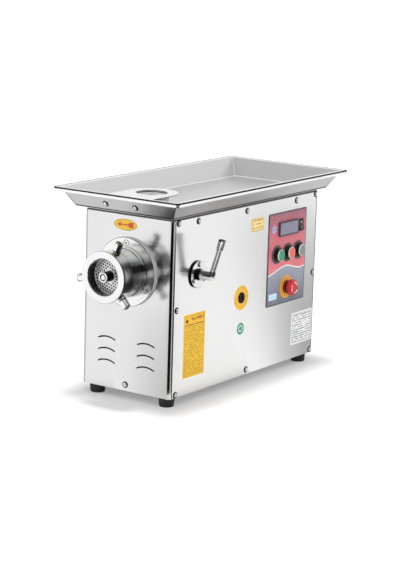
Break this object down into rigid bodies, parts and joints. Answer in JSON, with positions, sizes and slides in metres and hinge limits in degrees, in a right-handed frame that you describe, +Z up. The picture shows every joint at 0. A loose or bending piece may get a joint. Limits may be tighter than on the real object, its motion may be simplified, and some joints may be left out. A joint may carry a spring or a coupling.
{
  "type": "electric meat grinder",
  "caption": "Bench meat grinder in a tall steel cabinet: flared loading tray on top, mincing head with a knobbed ring nut in front, clamp lever and control panel on the right.",
  "frame": {"origin": "middle of the overall footprint, on the surface that the feet stand on", "axes": "+Z up, -Y towards the mincing head and its outlet, +X towards the control panel and the clamp lever"},
  "size_m": [0.3846, 0.793, 0.503],
  "materials": {
    "cabinet_steel": "fine-brushed stainless sheet, bright",
    "tray_steel": "satin stainless sheet",
    "polished_steel": "turned and polished stainless steel",
    "plate_steel": "ground tool steel",
    "cast_alloy": "as-cast aluminium",
    "dark_steel": "machined steel, lightly oiled",
    "copper": "drawn copper",
    "black_paint": "semi-gloss black paint",
    "blue_paint": "semi-gloss blue-grey paint",
    "black_rubber": "matte black rubber",
    "black_plastic": "satin black plastic",
    "grey_plastic": "blue-grey satin plastic",
    "panel_overlay": "printed overlay, red above and blue-grey below a white wave",
    "green_plastic": "moulded green",
    "red_plastic": "moulded red",
    "pale_grey_plastic": "moulded grey"
  },
  "bodies": {
    "root": {"front_panel": "cabinet_steel", "rear_panel": "cabinet_steel", "left_panel": "cabinet_steel", "right_panel": "cabinet_steel", "base_pan": "cabinet_steel", "deck_plate": "cabinet_steel", "foot_front_left": "black_rubber", "foot_front_right": "black_rubber", "foot_rear_left": "black_rubber", "foot_rear_right": "black_rubber", "tray_seal": "black_rubber", "tray": "tray_steel", "throat_plate": "polished_steel", "feed_neck": "polished_steel", "head_flange": "polished_steel", "head_barrel": "polished_steel", "cooling_jacket": "copper", "gearbox_case": "cast_alloy", "gearbox_cover": "cast_alloy", "output_bearing": "dark_steel", "gearbox_pedestal": "black_paint", "motor_housing": "blue_paint", "motor_stator": "dark_steel", "motor_cowl": "black_paint", "compressor": "black_paint", "condenser": "cast_alloy", "condenser_fan_frame": "black_paint", "suction_pipe": "copper", "discharge_pipe": "copper", "clamp_flange": "polished_steel", "control_plate": "panel_overlay", "display_housing": "grey_plastic", "switch_frame": "black_plastic", "start_collar": "black_plastic", "stop_collar": "black_plastic", "reverse_collar": "black_plastic", "emergency_collar": "black_plastic", "cable_gland": "black_plastic"},
    "plate_carrier": {"mincing_plate": "plate_steel"},
    "ring_nut": {"ring_nut": "polished_steel", "ring_knob_1": "polished_steel", "ring_knob_2": "polished_steel", "ring_knob_3": "polished_steel"},
    "auger": {"auger": "polished_steel", "knife": "plate_steel", "drive_shaft": "dark_steel", "output_gear": "dark_steel"},
    "layshaft": {"layshaft": "dark_steel", "layshaft_gear": "dark_steel"},
    "motor_rotor": {"motor_rotor": "dark_steel", "motor_fan": "black_plastic"},
    "condenser_fan": {"condenser_fan": "black_plastic"},
    "clamp_lever": {"clamp_lever": "polished_steel", "clamp_knob": "polished_steel"},
    "switch_rocker": {"switch_rocker": "black_plastic"},
    "start_button": {"start_button": "green_plastic"},
    "stop_button": {"stop_button": "red_plastic"},
    "reverse_button": {"reverse_button": "pale_grey_plastic"},
    "emergency_stem": {"emergency_stem": "black_plastic"},
    "emergency_head": {"emergency_head": "red_plastic"}
  },
  "joints": [
    {"name": "plate_slide", "type": "slide", "parent": "root", "child": "plate_carrier", "axis": [0, -1, 0], "range_m": [0, 0.0101]},
    {"name": "ring_nut_turn", "type": "hinge", "parent": "plate_carrier", "child": "ring_nut", "pos_m": [-0.0103, -0.3775, 0.314], "axis": [0, -1, 0], "range_deg": [0, 720]},
    {"name": "motor_spin", "type": "hinge", "parent": "root", "child": "motor_rotor", "pos_m": [-0.0103, 0.077, 0.314], "axis": [0, 1, 0], "continuous": true},
    {"name": "layshaft_spin", "type": "hinge", "parent": "root", "child": "layshaft", "pos_m": [-0.0103, -0.079, 0.224], "axis": [0, 1, 0], "continuous": true},
    {"name": "auger_spin", "type": "hinge", "parent": "root", "child": "auger", "pos_m": [-0.0103, -0.209, 0.314], "axis": [0, 1, 0], "continuous": true},
    {"name": "condenser_fan_spin", "type": "hinge", "parent": "root", "child": "condenser_fan", "pos_m": [-0.0103, -0.219, 0.112], "axis": [0, 1, 0], "continuous": true},
    {"name": "clamp_turn", "type": "hinge", "parent": "root", "child": "clamp_lever", "pos_m": [0.1597, -0.1995, 0.311], "axis": [1, 0, 0], "range_deg": [0, 270]},
    {"name": "rocker_tip", "type": "hinge", "parent": "root", "child": "switch_rocker", "pos_m": [0.1197, 0.254, 0.372], "axis": [0, 1, 0], "range_deg": [0, 22]},
    {"name": "start_press", "type": "slide", "parent": "root", "child": "start_button", "axis": [-1, 0, 0], "range_m": [0, 0.004], "stiffness_N_per_m": 500},
    {"name": "stop_press", "type": "slide", "parent": "root", "child": "stop_button", "axis": [-1, 0, 0], "range_m": [0, 0.004], "stiffness_N_per_m": 500},
    {"name": "reverse_press", "type": "slide", "parent": "root", "child": "reverse_button", "axis": [-1, 0, 0], "range_m": [0, 0.004], "stiffness_N_per_m": 500},
    {"name": "emergency_press", "type": "slide", "parent": "root", "child": "emergency_stem", "axis": [-1, 0, 0], "range_m": [0, 0.004]},
    {"name": "emergency_twist", "type": "hinge", "parent": "emergency_stem", "child": "emergency_head", "pos_m": [0.1397, 0.196, 0.22], "axis": [1, 0, 0], "range_deg": [-30, 0], "stiffness_Nm_per_rad": 0.05}
  ],
  "couplings": [
    {"joint": "plate_slide", "follows": "ring_nut_turn", "m_per_rad": 0.00079577},
    {"joint": "layshaft_spin", "follows": "motor_spin", "ratio": -0.33333},
    {"joint": "auger_spin", "follows": "motor_spin", "ratio": 0.11111}
  ]
}
